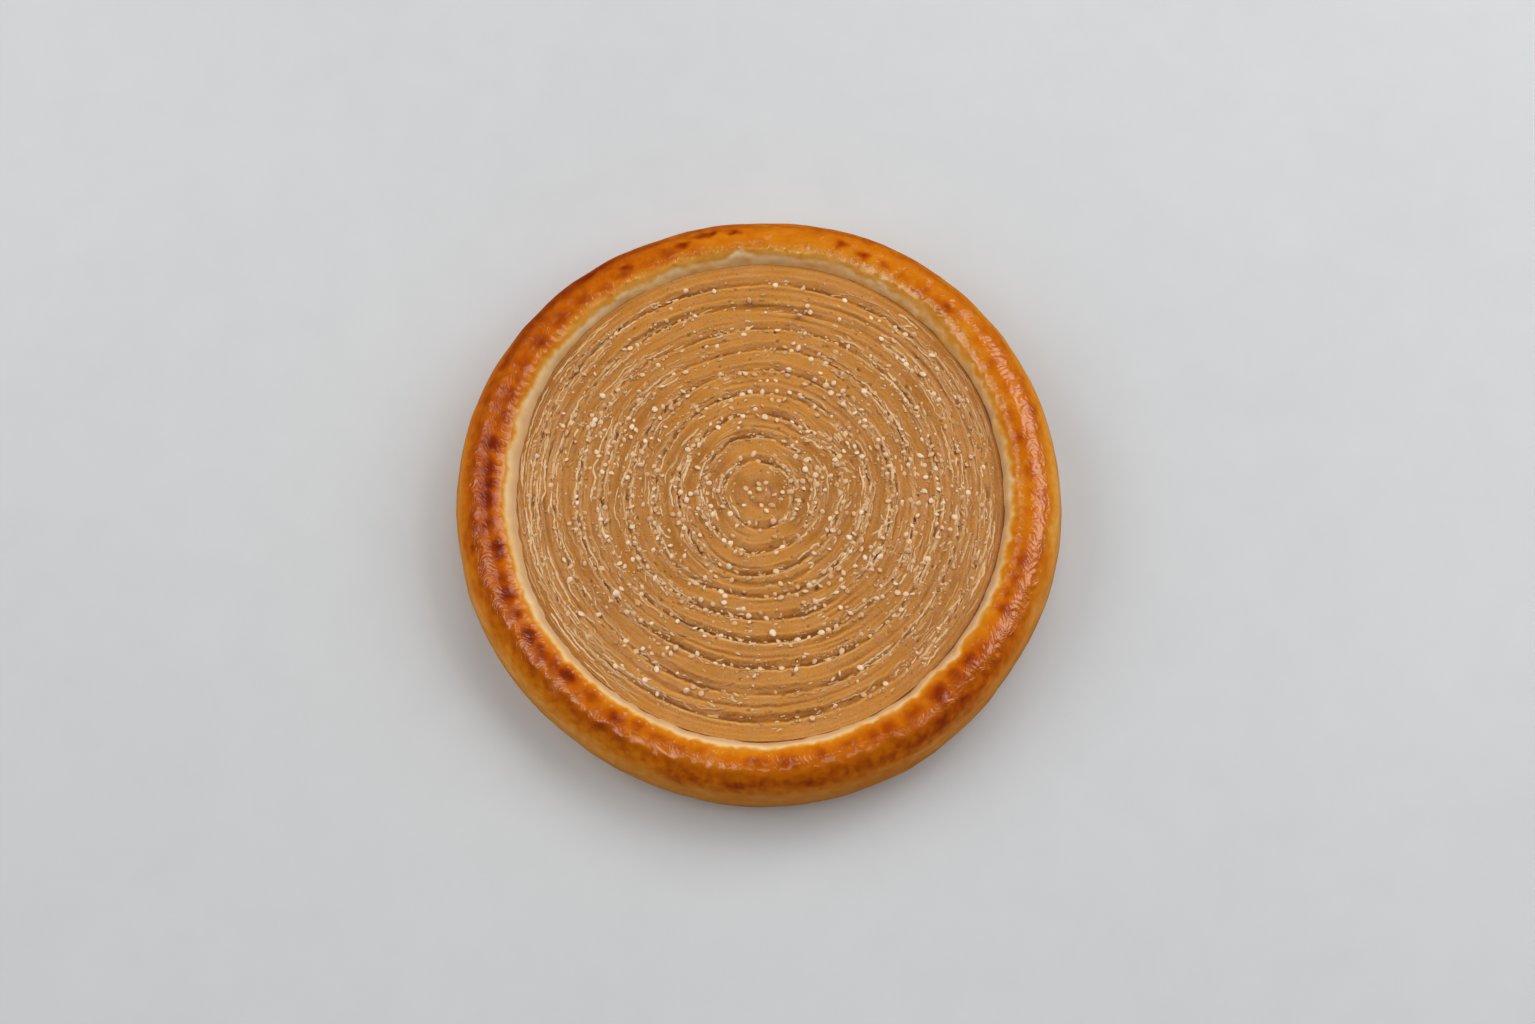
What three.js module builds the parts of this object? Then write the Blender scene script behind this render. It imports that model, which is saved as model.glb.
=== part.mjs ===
// A round open pie: a soft, egg-washed dough case with a tall rounded rim, filled to a few
// millimetres below the rim with a thick sesame paste that is combed into rings.
// Units are millimetres, +Z is up, and the origin is the centre of the flat underside.

import * as THREE from 'three';

// ---- overall sizes -------------------------------------------------------------------
const PIE_DIAMETER = 210; // across the widest part of the rim
const RIM_HEIGHT = 28; // underside to the crown of the rim
const SEGMENTS = 64; // facets round the pie, the same for both pieces

// ---- dough case ----------------------------------------------------------------------
const BASE_RADIUS = 94; // edge of the flat underside
const BULGE_HEIGHT = 10.5; // height of the widest part of the rim
const CROWN_RADIUS = 93; // radius of the rim's crown
const LIP_RADIUS = 86.6; // where the crown rolls over into the inner wall
const LIP_HEIGHT = 24.7;
const FLOOR_THICKNESS = 8; // dough under the filling
const FLOOR_RADIUS = 78.5; // radius of the flat floor of the well
const WALL_TOP_RADIUS = 84.7; // inner wall where the filling meets it
const WALL_TOP_HEIGHT = 21.2;

// ---- filling -------------------------------------------------------------------------
const CLEARANCE = 0.3; // gap between the filling and the dough
const FILL_HEIGHT = 21.6; // level of the ridges
const RING_PITCH = 8.25; // distance from groove to groove
const FIRST_GROOVE = 12.1; // radius of the innermost full groove
const GROOVE_COUNT = 9;
const GROOVE_DEPTH = 1.5;
const GROOVE_HALF_WIDTH = 1.9;
const CENTRE_DIMPLE = 1.1; // dip at the middle of the combed rings
const CENTRE_RADIUS = 5.0;
const EDGE_BAND = 3.2; // plain smeared band along the wall

// ---- hand-made unevenness ------------------------------------------------------------
const OUTLINE_LOBES = [ // [waves round the pie, amplitude, phase in degrees]
	[3, 0.7, 231],
	[5, 0.25, 40],
	[8, 0.15, 110],
];
const HEIGHT_WAVES = [
	[2, 0.45, 70],
	[3, 0.35, 200],
	[7, 0.3, 15],
	[13, 0.25, 140],
];
const RING_WAVES = [
	[2, 0.55, 20],
	[3, 0.45, 160],
	[5, 0.3, 75],
];
const INNER_EDGE_STRETCH = 0.8; // the inner edge is a little longer front to back

const RAD = Math.PI / 180;

function smooth(a, b, x) {

	const t = Math.min(1, Math.max(0, (x - a) / (b - a)));
	return t * t * (3 - 2 * t);

}

function waves(table, theta, shift = 0) {

	let sum = 0;
	for (const [count, size, phase] of table) sum += size * Math.cos(count * theta + phase * RAD + shift);
	return sum;

}

// One smooth displacement of space shared by both pieces, so that they keep their gap.
function uneven(r, theta, z) {

	const outline = smooth(62, 100, r) * waves(OUTLINE_LOBES, theta);
	const inner = -INNER_EDGE_STRETCH * Math.cos(2 * theta) * Math.exp(-(((r - 86) / 7) ** 2));
	const lift = smooth(86, 92, r) * smooth(6, RIM_HEIGHT, z) * waves(HEIGHT_WAVES, theta);
	return { r: r + outline + inner, z: z + lift };

}

// Revolves a profile of (radius, height) points about Z and then makes it hand-made.
function turned(profile, extra) {

	const geometry = new THREE.LatheGeometry(profile, SEGMENTS);
	geometry.rotateX(Math.PI / 2);
	const position = geometry.attributes.position;
	for (let i = 0; i < position.count; i++) {

		const x = position.getX(i), y = position.getY(i);
		let r = Math.hypot(x, y), z = position.getZ(i);
		if (r < 1e-6) continue;
		const theta = Math.round(Math.atan2(y, x) / (2 * Math.PI) * SEGMENTS) * 2 * Math.PI / SEGMENTS;
		if (extra) ({ r, z } = extra(r, theta, z));
		({ r, z } = uneven(r, theta, z));
		position.setXYZ(i, r * Math.cos(theta), r * Math.sin(theta), z);

	}

	geometry.deleteAttribute('normal');
	geometry.deleteAttribute('uv');
	geometry.computeVertexNormals();
	return geometry;

}

function bezier(from, a, b, to, steps) {

	const v = (p) => new THREE.Vector2(p[0], p[1]);
	return new THREE.CubicBezierCurve(v(from), v(a), v(b), v(to)).getPoints(steps).slice(1);

}

// ---- dough case: underside, rounded rim, inner wall and the floor of the well ---------
function crustProfile() {

	const R = PIE_DIAMETER / 2;
	const bulge = [R, BULGE_HEIGHT], crown = [CROWN_RADIUS, RIM_HEIGHT], lip = [LIP_RADIUS, LIP_HEIGHT];
	const wallTop = [WALL_TOP_RADIUS, WALL_TOP_HEIGHT];
	return [
		new THREE.Vector2(0, 0),
		new THREE.Vector2(BASE_RADIUS * 0.5, 0),
		new THREE.Vector2(BASE_RADIUS, 0),
		...bezier([BASE_RADIUS, 0], [BASE_RADIUS + 6.5, 0], [R, BULGE_HEIGHT * 0.42], bulge, 6),
		...bezier(bulge, [R, BULGE_HEIGHT + 9.3], [CROWN_RADIUS + 6.4, RIM_HEIGHT], crown, 9),
		...bezier(crown, [CROWN_RADIUS - 2.55, RIM_HEIGHT], [LIP_RADIUS + 1.5, LIP_HEIGHT + 2.0], lip, 5),
		...bezier(lip, [LIP_RADIUS - 0.7, LIP_HEIGHT - 1.0], [WALL_TOP_RADIUS + 0.5, WALL_TOP_HEIGHT + 1.1], wallTop, 2),
		new THREE.Vector2(FLOOR_RADIUS, FLOOR_THICKNESS),
		new THREE.Vector2(0, FLOOR_THICKNESS),
	];

}

// ---- filling: a plug that fits the well, with rings combed into its top ---------------
function fillingProfile() {

	const rise = WALL_TOP_HEIGHT - FLOOR_THICKNESS;
	const wallAt = (z) => FLOOR_RADIUS + (WALL_TOP_RADIUS - FLOOR_RADIUS) * (z - FLOOR_THICKNESS) / rise - CLEARANCE * 1.25;
	const low = FLOOR_THICKNESS + CLEARANCE, edge = FILL_HEIGHT - 0.9;
	const points = [
		new THREE.Vector2(0, low),
		new THREE.Vector2(wallAt(low), low),
		new THREE.Vector2(wallAt(edge), edge),
	];
	// from the wall to the middle: a plain band, then groove and ridge by turns
	points.push(new THREE.Vector2(wallAt(edge) - EDGE_BAND * 0.45, FILL_HEIGHT - 0.15));
	for (let k = GROOVE_COUNT - 1; k >= 0; k--) {

		const r = FIRST_GROOVE + RING_PITCH * k;
		points.push(new THREE.Vector2(r + GROOVE_HALF_WIDTH, FILL_HEIGHT - 0.1));
		points.push(new THREE.Vector2(r, FILL_HEIGHT - GROOVE_DEPTH));
		points.push(new THREE.Vector2(r - GROOVE_HALF_WIDTH, FILL_HEIGHT - 0.25));
		if (k > 0) points.push(new THREE.Vector2(r - RING_PITCH / 2, FILL_HEIGHT + 0.05));

	}

	points.push(new THREE.Vector2(CENTRE_RADIUS + 1.4, FILL_HEIGHT));
	points.push(new THREE.Vector2(CENTRE_RADIUS - 1.2, FILL_HEIGHT - CENTRE_DIMPLE));
	points.push(new THREE.Vector2(0, FILL_HEIGHT - CENTRE_DIMPLE * 0.3));
	return points;

}

// The rings wander a little, and more towards the middle ones than at the wall.
function ringWander(r, theta, z) {

	if (z < WALL_TOP_HEIGHT - GROOVE_DEPTH - 1) return { r, z };
	const free = smooth(0, 20, r) * (1 - smooth(70, 82, r));
	const drift = r * 0.11; // neighbouring rings drift together
	return {
		r: r + free * waves(RING_WAVES, theta, drift),
		z: z + free * 0.25 * Math.cos(4 * theta + r * 0.35),
	};

}

const dough = new THREE.MeshStandardMaterial({ name: 'crust', color: 0xc4751f, roughness: 0.32, metalness: 0 });
const paste = new THREE.MeshStandardMaterial({ name: 'filling', color: 0xb98248, roughness: 0.55, metalness: 0 });

const crust = new THREE.Mesh(turned(crustProfile()), dough);
crust.name = 'crust';

const filling = new THREE.Mesh(turned(fillingProfile(), ringWander), paste);
filling.name = 'tahini_filling';

const pie = new THREE.Group();
pie.name = 'tahini_pie';
pie.add(crust, filling);

// put the origin under the middle of the finished outline
const box = new THREE.Box3().setFromObject(pie);
const shift = [-(box.min.x + box.max.x) / 2, -(box.min.y + box.max.y) / 2];
for (const piece of pie.children) piece.geometry.translate(shift[0], shift[1], 0);

export default pie;
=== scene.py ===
"""Looks of a round open pie: an egg-washed dough case with a browned, wrinkled crown, a sesame
paste combed into rings, and hulled sesame seeds scattered over it. Shapes are worked out in
millimetres by functions of radius and angle and turned into meshes in metres."""

import math

import bpy
import numpy as np
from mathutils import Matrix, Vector


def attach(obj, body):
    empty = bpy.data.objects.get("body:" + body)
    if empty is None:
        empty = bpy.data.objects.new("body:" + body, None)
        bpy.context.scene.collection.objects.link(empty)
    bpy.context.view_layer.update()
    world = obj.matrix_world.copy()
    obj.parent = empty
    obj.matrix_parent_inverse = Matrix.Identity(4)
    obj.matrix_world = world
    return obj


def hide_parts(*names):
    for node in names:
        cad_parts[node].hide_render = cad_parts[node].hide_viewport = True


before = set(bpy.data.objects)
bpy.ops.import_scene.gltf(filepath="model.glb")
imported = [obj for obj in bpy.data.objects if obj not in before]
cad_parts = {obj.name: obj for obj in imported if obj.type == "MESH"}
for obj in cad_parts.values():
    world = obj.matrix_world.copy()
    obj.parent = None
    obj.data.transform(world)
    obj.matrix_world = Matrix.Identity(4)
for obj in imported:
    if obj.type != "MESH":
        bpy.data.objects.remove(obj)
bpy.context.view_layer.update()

MM = 0.001
TAU = 2 * math.pi
RAD = math.pi / 180

# ---- sizes shared with the solids, in millimetres ---------------------------------------
PIE_RADIUS = 105.0
RIM_HEIGHT = 28.0
BASE_RADIUS = 94.0
BULGE_HEIGHT = 10.5
CROWN_RADIUS = 93.0
LIP_RADIUS, LIP_HEIGHT = 86.6, 24.7
FLOOR_THICKNESS, FLOOR_RADIUS = 8.0, 78.5
WALL_TOP_RADIUS, WALL_TOP_HEIGHT = 84.7, 21.2
FILL_HEIGHT = 21.6
RING_PITCH, FIRST_GROOVE, GROOVE_COUNT, GROOVE_DEPTH = 8.25, 12.1, 9, 1.5
OUTLINE_LOBES = [(3, 0.7, 231), (5, 0.25, 40), (8, 0.15, 110)]
HEIGHT_WAVES = [(2, 0.45, 70), (3, 0.35, 200), (7, 0.3, 15), (13, 0.25, 140)]
RING_WAVES = [(2, 0.55, 20), (3, 0.45, 160), (5, 0.3, 75)]
INNER_EDGE_STRETCH = 0.8


# ---- small numeric helpers --------------------------------------------------------------
def smooth(a, b, x):
    t = np.clip((x - a) / (b - a), 0.0, 1.0)
    return t * t * (3 - 2 * t)


def bell(x, centre, width):
    return np.exp(-(((x - centre) / width) ** 2))


def waves(table, theta, shift=0.0):
    return sum(size * np.cos(count * theta + phase * RAD + shift) for count, size, phase in table)


def uneven(r, theta, z):
    """The pie's hand-made unevenness, the same for every piece."""
    outline = smooth(62, 100, r) * waves(OUTLINE_LOBES, theta)
    inner = -INNER_EDGE_STRETCH * np.cos(2 * theta) * np.exp(-(((r - 86) / 7) ** 2))
    lift = smooth(86, 92, r) * smooth(6, RIM_HEIGHT, z) * waves(HEIGHT_WAVES, theta)
    return r + outline + inner, z + lift


class Noise:
    """Seeded gradient noise in three dimensions, about -1 to 1."""

    def __init__(self, seed):
        rng = np.random.default_rng(seed)
        self.order = np.tile(rng.permutation(256), 3)
        g = rng.normal(size=(256, 3))
        self.grad = g / np.linalg.norm(g, axis=1, keepdims=True)

    def __call__(self, x, y, z):
        x, y, z = np.broadcast_arrays(*(np.asarray(v, float) for v in (x, y, z)))
        cell = [np.floor(v).astype(np.int64) for v in (x, y, z)]
        part = [v - c for v, c in zip((x, y, z), cell)]
        fade = [p * p * p * (p * (p * 6 - 15) + 10) for p in part]
        total = np.zeros(x.shape)
        for i in (0, 1):
            for j in (0, 1):
                for k in (0, 1):
                    a = self.order[(cell[0] + i) & 255]
                    b = self.order[a + ((cell[1] + j) & 255)]
                    c = self.order[b + ((cell[2] + k) & 255)]
                    g = self.grad[c]
                    dot = g[..., 0] * (part[0] - i) + g[..., 1] * (part[1] - j) + g[..., 2] * (part[2] - k)
                    w = (fade[0] if i else 1 - fade[0]) * (fade[1] if j else 1 - fade[1])
                    total += dot * w * (fade[2] if k else 1 - fade[2])
        return total * 1.6


def octaves(noise, x, y, z, count=3, gain=0.5):
    total, size = 0.0, 1.0
    for n in range(count):
        total = total + size * noise(x * 2**n + 7.1 * n, y * 2**n, z * 2**n)
        size *= gain
    return total


def round_noise(noise, theta, z, waves_round):
    """Noise that runs round the pie and closes on itself."""
    k = waves_round / TAU
    return noise(np.cos(theta) * k, np.sin(theta) * k, z)


def cells(u, v, count_u, seed, jitter=0.8, rows=64):
    """Distance to the nearest and to the second nearest of one random point in each unit cell.
    u wraps after count_u cells."""
    rng = np.random.default_rng(seed)
    px, py = rng.random((count_u, rows)), rng.random((count_u, rows))
    iu, iv = np.floor(u).astype(int), np.floor(v).astype(int)
    near = np.full(u.shape, 9.0)
    second = np.full(u.shape, 9.0)
    for du in (-1, 0, 1):
        for dv in (-1, 0, 1):
            cu, cv = iu + du, iv + dv
            a = px[cu % count_u, cv % rows] * jitter + (1 - jitter) / 2
            b = py[cu % count_u, cv % rows] * jitter + (1 - jitter) / 2
            d = np.hypot(cu + a - u, cv + b - v)
            second = np.minimum(second, np.maximum(near, d))
            near = np.minimum(near, d)
    return near, second


# ---- meshes -----------------------------------------------------------------------------
def make_mesh(name, co_mm, faces, values=None, vectors=None):
    """An object from points in millimetres, triangles or quads, and named point values."""
    mesh = bpy.data.meshes.new(name)
    quads = np.asarray(faces)
    sizes = np.where(quads[:, 3] < 0, 3, 4)
    loops = quads.ravel()[quads.ravel() >= 0]
    mesh.vertices.add(len(co_mm))
    mesh.vertices.foreach_set("co", (np.asarray(co_mm) * MM).astype(np.float32).ravel())
    mesh.loops.add(len(loops))
    mesh.loops.foreach_set("vertex_index", loops.astype(np.int32))
    mesh.polygons.add(len(quads))
    starts = np.concatenate([[0], np.cumsum(sizes)[:-1]])
    mesh.polygons.foreach_set("loop_start", starts.astype(np.int32))
    mesh.update(calc_edges=True)
    mesh.validate()
    mesh.polygons.foreach_set("use_smooth", np.ones(len(quads), bool))
    for key, data in (values or {}).items():
        mesh.attributes.new(key, "FLOAT", "POINT").data.foreach_set("value", np.asarray(data, np.float32).ravel())
    for key, data in (vectors or {}).items():
        mesh.attributes.new(key, "FLOAT_VECTOR", "POINT").data.foreach_set("vector", np.asarray(data, np.float32).ravel())
    mesh.update()
    ob = bpy.data.objects.new(name, mesh)
    bpy.context.scene.collection.objects.link(ob)
    return ob


def ring_faces(rings):
    """Quads between rings of points (first index, count), each ring as many points as the last,
    half or twice as many, or one. Ring order runs so that the faces point out."""
    out = []
    for (a, na), (b, nb) in zip(rings[:-1], rings[1:]):
        if na == nb:
            j = np.arange(na)
            k = (j + 1) % na
            out.append(np.stack([a + j, a + k, b + k, b + j], 1))
        elif na == 1:
            j = np.arange(nb)
            k = (j + 1) % nb
            out.append(np.stack([np.full(nb, a), b + k, b + j, np.full(nb, -1)], 1))
        elif nb == 1:
            j = np.arange(na)
            k = (j + 1) % na
            out.append(np.stack([a + j, a + k, np.full(na, b), np.full(na, -1)], 1))
        elif na == 2 * nb:
            j = np.arange(nb)
            k = (j + 1) % nb
            p, q, s = a + 2 * j, a + 2 * j + 1, a + (2 * j + 2) % na
            out.append(np.stack([p, q, b + j, np.full(nb, -1)], 1))
            out.append(np.stack([q, s, b + k, b + j], 1))
        elif nb == 2 * na:
            j = np.arange(na)
            k = (j + 1) % na
            q, mid, s = b + 2 * j, b + 2 * j + 1, b + (2 * j + 2) % nb
            out.append(np.stack([a + j, a + k, s, mid], 1))
            out.append(np.stack([a + j, mid, q, np.full(na, -1)], 1))
        else:
            raise ValueError("rings don't match")
    return np.concatenate(out)


# ---- crust ------------------------------------------------------------------------------
def bezier(p0, p1, p2, p3, steps):
    t = np.linspace(0, 1, steps + 1)[1:, None]
    p0, p1, p2, p3 = (np.array(p, float) for p in (p0, p1, p2, p3))
    return (1 - t) ** 3 * p0 + 3 * t * (1 - t) ** 2 * p1 + 3 * t * t * (1 - t) * p2 + t**3 * p3


def even_steps(line, count):
    d = np.concatenate([[0], np.cumsum(np.hypot(*np.diff(line, axis=0).T))])
    s = np.linspace(0, d[-1], count)
    return np.stack([np.interp(s, d, line[:, 0]), np.interp(s, d, line[:, 1])], 1), s


def crust_profile(rows):
    R = PIE_RADIUS
    line = np.concatenate([
        [[BASE_RADIUS, 0.0]],
        bezier((BASE_RADIUS, 0), (BASE_RADIUS + 6.5, 0), (R, BULGE_HEIGHT * 0.42), (R, BULGE_HEIGHT), 80),
        bezier((R, BULGE_HEIGHT), (R, BULGE_HEIGHT + 9.3), (CROWN_RADIUS + 6.4, RIM_HEIGHT), (CROWN_RADIUS, RIM_HEIGHT), 120),
        bezier((CROWN_RADIUS, RIM_HEIGHT), (CROWN_RADIUS - 2.55, RIM_HEIGHT), (LIP_RADIUS + 1.5, LIP_HEIGHT + 2.0), (LIP_RADIUS, LIP_HEIGHT), 60),
        bezier((LIP_RADIUS, LIP_HEIGHT), (LIP_RADIUS - 0.7, LIP_HEIGHT - 1.0), (WALL_TOP_RADIUS + 0.5, WALL_TOP_HEIGHT + 1.1), (WALL_TOP_RADIUS, WALL_TOP_HEIGHT), 40),
    ])
    line, s = even_steps(line, rows)
    return line, s - s[np.argmax(line[:, 1])]


# rows of the crust mesh: from, to (distance from the crown, negative on the outside), step, points round
CRUST_ROWS = [(-99.0, -27.0, 1.7, 400), (-27.0, -14.5, 1.05, 800), (-14.5, -9.5, 0.62, 1600), (-9.5, 8.8, 0.48, 1600), (8.8, 99.0, 0.55, 800)]

# folds of the skin along the crown
FOLDS = 320
FOLD_LENGTH = TAU * CROWN_RADIUS / FOLDS

# how strongly the crown is baked, and how it is wrinkled or lumpy, by direction in degrees
HEAT = [(0, 0.50), (35, 0.55), (55, 0.45), (75, 0.25), (98, 0.42), (115, 0.62), (135, 0.62), (155, 0.75), (175, 0.92),
        (195, 0.92), (220, 0.88), (240, 0.75), (265, 0.55), (288, 0.70), (310, 0.88), (335, 0.62)]
CHAIN = [(0, 0.45), (40, 0.45), (60, 0.35), (90, 0.2), (120, 0.45), (150, 0.85), (180, 1.0), (205, 0.95), (230, 0.6), (262, 0.7), (285, 0.45), (315, 0.5), (340, 0.5)]
FOLD_DEPTH = [(0, 0.09), (30, 0.08), (60, 0.08), (90, 0.08), (120, 0.09), (150, 0.11), (180, 0.13), (215, 0.15), (250, 0.16), (275, 0.15), (300, 0.14), (330, 0.11)]
# outside of the rim lighter or darker by direction: partly how it baked, partly painted light, lighter on the right and
# left where the side lamps fall
OUTER_BAKE_AND_LIGHT = [(0, -0.23), (30, -0.08), (60, 0.0), (90, 0.0), (110, 0.06), (135, 0.19), (155, 0.05), (180, -0.14), (215, -0.15), (240, -0.10), (270, 0.03), (310, 0.06), (335, -0.06)]
LUMPS = [(0, 0.3), (60, 0.55), (90, 0.6), (120, 0.55), (180, 0.2), (240, 0.3), (265, 0.5), (290, 0.8), (320, 0.8), (345, 0.4)]
# places where the skin tore and pale dough shows: direction, half width, reach towards the crown
TEARS = [(95, 1.9, 4.4), (110, 1.6, 1.2), (124, 2.4, 1.2), (60, 1.6, 1.0), (318, 2.0, 2.0), (334, 1.6, 1.5)]

# single browned spots: direction, distance from the crown, half width along and across the rim, strength
SPOTS = [(107, -1.6, 3.2, 1.6, 0.95), (102, -4.0, 4.2, 1.7, 0.8), (100, -4.4, 2.0, 1.5, 0.95), (95.5, -3.4, 2.4, 1.5, 0.95), (120, -1.0, 2.6, 1.7, 0.7),
         (72.5, -1.6, 3.0, 2.0, 0.9), (67, 0.4, 2.6, 1.6, 0.8), (62, 0.2, 2.4, 1.6, 0.6), (45, 0.8, 2.8, 1.8, 0.6)]


def by_direction(table, theta):
    deg = np.degrees(theta) % 360
    return np.interp(deg, [d for d, _ in table], [v for _, v in table], period=360)


def turn_from(theta, direction):
    return (theta - direction + math.pi) % TAU - math.pi


def build_crust():
    line, c = crust_profile(700)
    tangent = np.gradient(line, axis=0)
    tangent /= np.linalg.norm(tangent, axis=1, keepdims=True)
    levels, counts = [], []
    for lo, hi, step, n in CRUST_ROWS:
        lo, hi = max(lo, c[0]), min(hi, c[-1])
        for v in np.arange(lo, hi - 0.4 * step, step):
            levels.append(v)
            counts.append(n)
    levels.append(c[-1])
    counts.append(CRUST_ROWS[-1][3])
    th = np.concatenate([np.arange(n) * TAU / n for n in counts])
    cc = np.concatenate([np.full(n, v) for v, n in zip(levels, counts)])
    r0, z0 = np.interp(cc, c, line[:, 0]), np.interp(cc, c, line[:, 1])
    nr, nz = np.interp(cc, c, tangent[:, 1]), -np.interp(cc, c, tangent[:, 0])

    n1, n2, n3 = Noise(11), Noise(12), Noise(13)
    X, Y = r0 * np.cos(th), r0 * np.sin(th)
    heat = np.clip(by_direction(HEAT, th) + 0.18 * round_noise(n1, th, 3.3, 16), 0.1, 1.0)
    chain, lumpy = by_direction(CHAIN, th), by_direction(LUMPS, th)

    # the crown is a chain of soft lumps, the inner shoulder a row of small beads
    rng = np.random.default_rng(8)

    def row(gap, centre, scatter, size_t, size_c, height, slant=0.0):
        """Soft lumps set along the rim at uneven gaps, in millimetres."""
        total, at = np.zeros_like(th), rng.uniform(0, 0.05)
        while at < TAU - 0.4 * gap[0] / CROWN_RADIUS:
            mid, wide, tall, up = rng.normal(centre, scatter), rng.uniform(*size_t), rng.uniform(*size_c), rng.uniform(*height)
            lean = slant * rng.normal()
            dt = turn_from(th, at) * CROWN_RADIUS
            close = np.abs(dt) < 3 * (wide + abs(lean) * tall)
            off = cc[close] - mid
            total[close] += up * np.exp(-(((dt[close] + lean * off) / wide) ** 2 + (off / tall) ** 2))
            at += rng.uniform(*gap) / CROWN_RADIUS
        return total

    chain_row = row((3.8, 6.6), -3.7, 0.7, (1.5, 2.4), (1.6, 2.7), (0.35, 0.90), 0.5)
    outer_row = row((4.2, 8.0), -7.2, 0.8, (1.4, 2.6), (1.0, 1.8), (0.05, 0.30), 0.5)
    inner_row = row((5.0, 9.0), 0.4, 0.7, (1.6, 2.8), (1.2, 1.9), (0.10, 0.36))
    beads = row((1.9, 3.6), 3.2, 0.8, (0.75, 1.2), (0.8, 1.4), (0.18, 0.55))
    big_row = row((8.0, 13.0), -2.2, 1.8, (3.2, 5.2), (2.8, 4.2), (0.4, 1.0))
    rope_row = row((6.0, 9.5), -3.0, 0.8, (2.3, 3.5), (2.2, 3.2), (0.45, 0.95), 0.6) * bell(turn_from(th, 230 * RAD), 0.0, 0.45)
    on_line = np.abs(cc - 3.4) < 0.24
    bead_table = sorted(zip(np.degrees(th[on_line]), beads[on_line]))
    swell = octaves(n3, X / 14, Y / 14, z0 / 14, 2)
    knobs = octaves(n2, X / 3.2, Y / 3.2, z0 / 3.2, 2)
    d = chain * (chain_row + outer_row + inner_row - 0.35 * bell(cc, -4, 4)) + lumpy * (big_row - 0.3 * bell(cc, -2.5, 4)) + rope_row
    d += (0.55 + 0.45 * chain) * (beads - 0.12 * bell(cc, 3.4, 1.2))
    d += 0.30 * swell * smooth(-38, -24, cc)
    # the skin is drawn into nested arcs along the crown, finer ones on the inner shoulder
    front = smooth(0.6, 0.95, -np.sin(th))
    strain = np.clip(0.65 - 0.22 * front + (0.8 + 0.7 * front) * n3(X / 6.5, Y / 6.5, z0 / 6.5), 0.2 - 0.18 * front, 1.2)
    fold_mid = -3.1 + 3.6 * smooth(0.75, 0.98, -np.sin(th))  # nearer the filling in front
    bow = np.sqrt(1 + ((cc - fold_mid) / 1.3) ** 2) - 1
    phase = FOLDS * th + TAU / FOLD_LENGTH * (1.5 * n1(X / 5, Y / 5, z0 / 5) + 0.7 * front * n2(X / 2.8, Y / 2.8, z0 / 2.8) - 1.9 * bow)
    crown = smooth(-5.4, -3.0, cc - fold_mid) * (1 - smooth(2.6, 4.4, cc - fold_mid))
    crown = crown * (1 - front) + front * bell(cc - fold_mid - 2.4 * n2(X / 6, Y / 6, z0 / 6), 0.0, 1.5)
    loops = smooth(0.5, 0.9, np.cos(th + 0.15))  # on the right the skin is drawn into loops instead
    whorl = np.sin(TAU * (3.5 * n2(X / 7, Y / 7, z0 / 7) + 0.35 * n1(X / 2.8, Y / 2.8, z0 / 2.8)))
    d += crown * ((1 - loops) * by_direction(FOLD_DEPTH, th) * strain * np.sin(phase + 0.5 * np.sin(phase)) + 0.13 * loops * whorl)
    d += 0.06 * strain * bell(cc, 3.2, 1.3) * np.sin(phase + 0.9)
    d += 0.09 * knobs * smooth(-15, -8, cc) * (1 - smooth(7, 9, cc))

    # browned blotches on the crown, further out on a few of the lumps
    rng = np.random.default_rng(5)
    warp_t, warp_c = 1.1 * n1(X / 3.4, Y / 3.4, z0 / 3.4), 1.0 * n2(X / 3.1, Y / 3.1, z0 / 3.1)
    blotch = np.zeros_like(th)
    at = 0.0
    while at < TAU:
        at += rng.uniform(0.06, 0.125)
        local = float(by_direction(HEAT, np.array(at)))
        size_t, size_c = rng.uniform(2.4, 4.6), rng.uniform(1.9, 3.0)
        centre = rng.normal(1.2, 0.7)
        strength = local**1.3 * rng.uniform(0.45, 1.35)
        dt = turn_from(th, at) * CROWN_RADIUS + warp_t
        blotch = np.maximum(blotch, strength * np.exp(-((dt / size_t) ** 2 + ((cc + warp_c - centre) / size_c) ** 2)))
    for _ in range(40):
        at = rng.uniform(0, TAU)
        size = rng.uniform(1.4, 3.4)
        centre = rng.uniform(-14, -3)
        strength = 0.65 * float(by_direction(HEAT, np.array(at))) * rng.uniform(0.4, 1.0)
        dt = turn_from(th, at) * 100 + warp_t
        blotch = np.maximum(blotch, strength * np.exp(-((dt / (size * 1.5)) ** 2 + ((cc + warp_c - centre) / size) ** 2)))

    for deg, centre, size_t, size_c, strength in SPOTS:
        dt = turn_from(th, deg * RAD) * CROWN_RADIUS + warp_t
        blotch = np.maximum(blotch, 1.15 * strength * np.exp(-((dt / size_t) ** 2 + ((cc + warp_c - centre) / size_c) ** 2)))

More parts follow.
